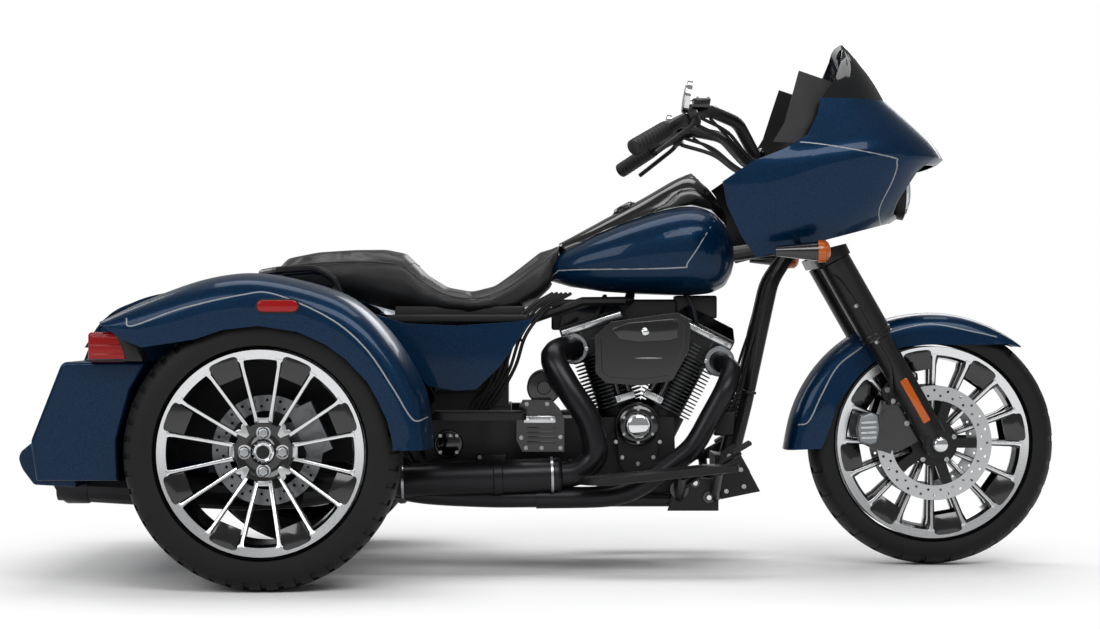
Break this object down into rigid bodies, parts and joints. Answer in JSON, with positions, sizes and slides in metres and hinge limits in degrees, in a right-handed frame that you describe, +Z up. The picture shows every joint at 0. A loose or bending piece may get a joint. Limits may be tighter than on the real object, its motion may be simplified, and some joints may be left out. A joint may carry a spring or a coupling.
{
  "type": "three-wheeled touring motorcycle",
  "caption": "Motorized trike: a V-twin touring motorcycle with one steered front wheel, a frame-mounted fairing and two covered rear wheels with a lidded trunk between them.",
  "frame": {"origin": "on the floor under the middle of the machine", "axes": "+X forward, +Y rider's left, +Z up"},
  "size_m": [2.5743, 1.3906, 1.353],
  "materials": {
    "blue_paint": "gloss metallic dark blue with a thin grey stripe",
    "black_metal": "satin black",
    "engine_black": "wrinkle black with machined fin edges",
    "bright_alloy": "machined",
    "bright_chrome": "polished",
    "pipe_black": "satin black heat coating",
    "disc_steel": "ground",
    "black_plastic": "grained",
    "seat_cover": "black vinyl",
    "tyre_black": "moulded",
    "grip_rubber": "moulded",
    "smoked_screen": "smoke-tinted clear plastic",
    "red_lens": "clear red",
    "amber_lens": "clear amber"
  },
  "bodies": {
    "chassis": {"frame": "black_metal", "rear_axle": "black_metal", "engine_case": "engine_black", "cylinders": "engine_black", "rocker_covers": "engine_black", "air_cleaner": "engine_black", "cam_cover": "engine_black", "gearbox_cover": "engine_black", "primary_cover": "engine_black", "exhaust_headers": "pipe_black", "mufflers": "pipe_black", "fuel_tank": "blue_paint", "tank_console": "black_plastic", "seat": "seat_cover", "grab_rail": "black_metal", "side_covers": "blue_paint", "rear_fender_right": "blue_paint", "rear_fender_left": "blue_paint", "trunk_body": "blue_paint", "bumper": "blue_paint", "tail_lamps": "red_lens", "marker_lamps": "red_lens", "footboards": "black_plastic", "passenger_boards": "black_plastic", "chin_spoiler": "black_plastic", "fairing_outer": "blue_paint", "fairing_inner": "black_plastic", "windscreen": "smoked_screen", "headlamp": "bright_chrome", "gauges": "black_plastic", "turn_signals": "amber_lens", "rear_calipers": "bright_alloy"},
    "trunk_cover": {"trunk_lid": "blue_paint"},
    "steering": {"fork_yokes": "black_metal", "fork_legs": "black_metal", "front_fender": "blue_paint", "handlebar": "black_metal", "hand_controls": "grip_rubber", "mirrors": "black_metal", "front_calipers": "black_metal"},
    "front_wheel": {"front_rim": "bright_alloy", "front_tyre": "tyre_black", "front_discs": "disc_steel"},
    "rear_wheel_right": {"rear_rim_right": "bright_alloy", "rear_tyre_right": "tyre_black", "rear_disc_right": "disc_steel"},
    "rear_wheel_left": {"rear_rim_left": "bright_alloy", "rear_tyre_left": "tyre_black", "rear_disc_left": "disc_steel"}
  },
  "joints": [
    {"name": "steering_turn", "type": "hinge", "parent": "chassis", "child": "steering", "pos_m": [0.693, 0, 0.785], "axis": [-0.4384, 0, 0.8988], "range_deg": [-30, 30]},
    {"name": "front_wheel_spin", "type": "hinge", "parent": "steering", "child": "front_wheel", "pos_m": [0.968, 0, 0.3193], "axis": [0, 1, 0], "continuous": true},
    {"name": "rear_right_spin", "type": "hinge", "parent": "chassis", "child": "rear_wheel_right", "pos_m": [-0.702, -0.5575, 0.32535], "axis": [0, 1, 0], "continuous": true},
    {"name": "rear_left_spin", "type": "hinge", "parent": "chassis", "child": "rear_wheel_left", "pos_m": [-0.702, 0.5575, 0.32535], "axis": [0, 1, 0], "continuous": true},
    {"name": "trunk_lid_hinge", "type": "hinge", "parent": "chassis", "child": "trunk_cover", "pos_m": [-0.79, 0, 0.712], "axis": [0, 1, 0], "range_deg": [0, 60]}
  ]
}
